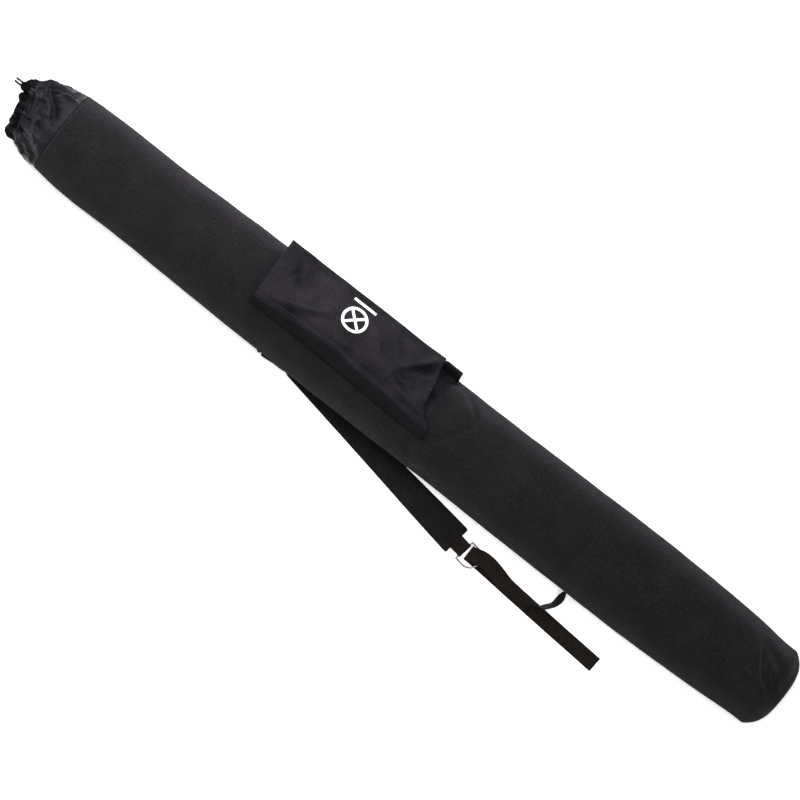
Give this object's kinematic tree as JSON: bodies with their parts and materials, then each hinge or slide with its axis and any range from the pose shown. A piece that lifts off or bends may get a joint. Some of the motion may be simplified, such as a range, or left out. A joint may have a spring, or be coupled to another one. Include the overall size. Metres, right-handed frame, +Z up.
{
  "type": "tubular instrument stick bag",
  "caption": "Long padded fabric tube bag with a drawcord neck, cord lock, flap pocket and padded shoulder strap with wire rings.",
  "frame": {"origin": "middle of the flat strip that the tube rests on, halfway along the bag", "axes": "+X from the gathered neck to the base, +Z up away from the surface it lies on, the pocket on top and the strap on the -Y side"},
  "size_m": [1.4773, 0.2371, 0.1329],
  "materials": {
    "body_fabric": "woven oxford polyester, matt charcoal black",
    "foam": "closed-cell foam sheet",
    "lining": "smooth nylon lining",
    "binding": "ribbed seam binding",
    "neck_nylon": "thin crinkled nylon, faint sheen",
    "cord": "braided polyester cord",
    "lock_plastic": "moulded nylon, fine grain",
    "spring_steel": "spring wire",
    "pocket_nylon": "smooth coated nylon, faint sheen",
    "touch_fastener": "hook and loop pile",
    "print_white": "screen-printed ink",
    "webbing": "ribbed polypropylene webbing",
    "pad_fabric": "dense black fabric over foam",
    "ring_metal": "nickel-plated bent wire"
  },
  "bodies": {
    "bag": {"outer_shell": "body_fabric", "foam_padding": "foam", "inner_lining": "lining", "base_panel": "body_fabric", "base_foam": "foam", "base_lining": "lining", "base_seam_tape": "binding", "neck_collar": "neck_nylon", "neck_seam_tape": "binding", "drawcord_hem": "neck_nylon", "drawcord": "cord", "cord_tail_a": "cord", "cord_tail_b": "cord", "pocket_gusset": "pocket_nylon", "pocket_upper_wall": "pocket_nylon", "pocket_front": "pocket_nylon", "pocket_mouth_binding": "binding", "pocket_loop_strip": "touch_fastener", "upper_anchor_patch": "webbing", "lower_anchor_patch": "webbing"},
    "flap": {"pocket_flap": "pocket_nylon", "flap_fold_welt": "pocket_nylon", "flap_hem": "pocket_nylon", "flap_hook_strip": "touch_fastener", "flap_emblem": "print_white"},
    "cord_lock": {"cord_lock_body": "lock_plastic", "cord_lock_spring": "spring_steel"},
    "lock_button": {"cord_lock_button": "lock_plastic"},
    "strap": {"strap_upper_webbing": "webbing", "pad_top": "pad_fabric", "pad_foam": "foam", "pad_backing": "pad_fabric", "pad_core_webbing": "webbing", "pad_end_loop": "webbing", "strap_ring_upper": "ring_metal", "strap_ring_lower": "ring_metal", "adjuster_webbing": "webbing"},
    "tail": {"strap_tail": "webbing", "tail_hem": "webbing"}
  },
  "joints": [
    {"name": "flap_lift", "type": "hinge", "parent": "bag", "child": "flap", "pos_m": [-0.098, -0.012, 0.132], "axis": [1, 0, 0], "range_deg": [0, 180]},
    {"name": "cord_lock_slide", "type": "slide", "parent": "bag", "child": "cord_lock", "axis": [-1, 0, 0], "range_m": [0, 0.005]},
    {"name": "cord_lock_press", "type": "slide", "parent": "cord_lock", "child": "lock_button", "axis": [0, 0, -1], "range_m": [0, 0.0025], "stiffness_N_per_m": 600, "springref_m": -0.001, "deforming": ["cord_lock_spring"]},
    {"name": "strap_swing", "type": "hinge", "parent": "bag", "child": "strap", "pos_m": [0, -0.0755, 0.0265], "axis": [-1, 0, 0], "range_deg": [0, 60]},
    {"name": "tail_lift", "type": "hinge", "parent": "strap", "child": "tail", "pos_m": [0.3866, -0.1312, 0.0011], "axis": [-0.0611, -0.9981, 0], "range_deg": [0, 80]}
  ]
}
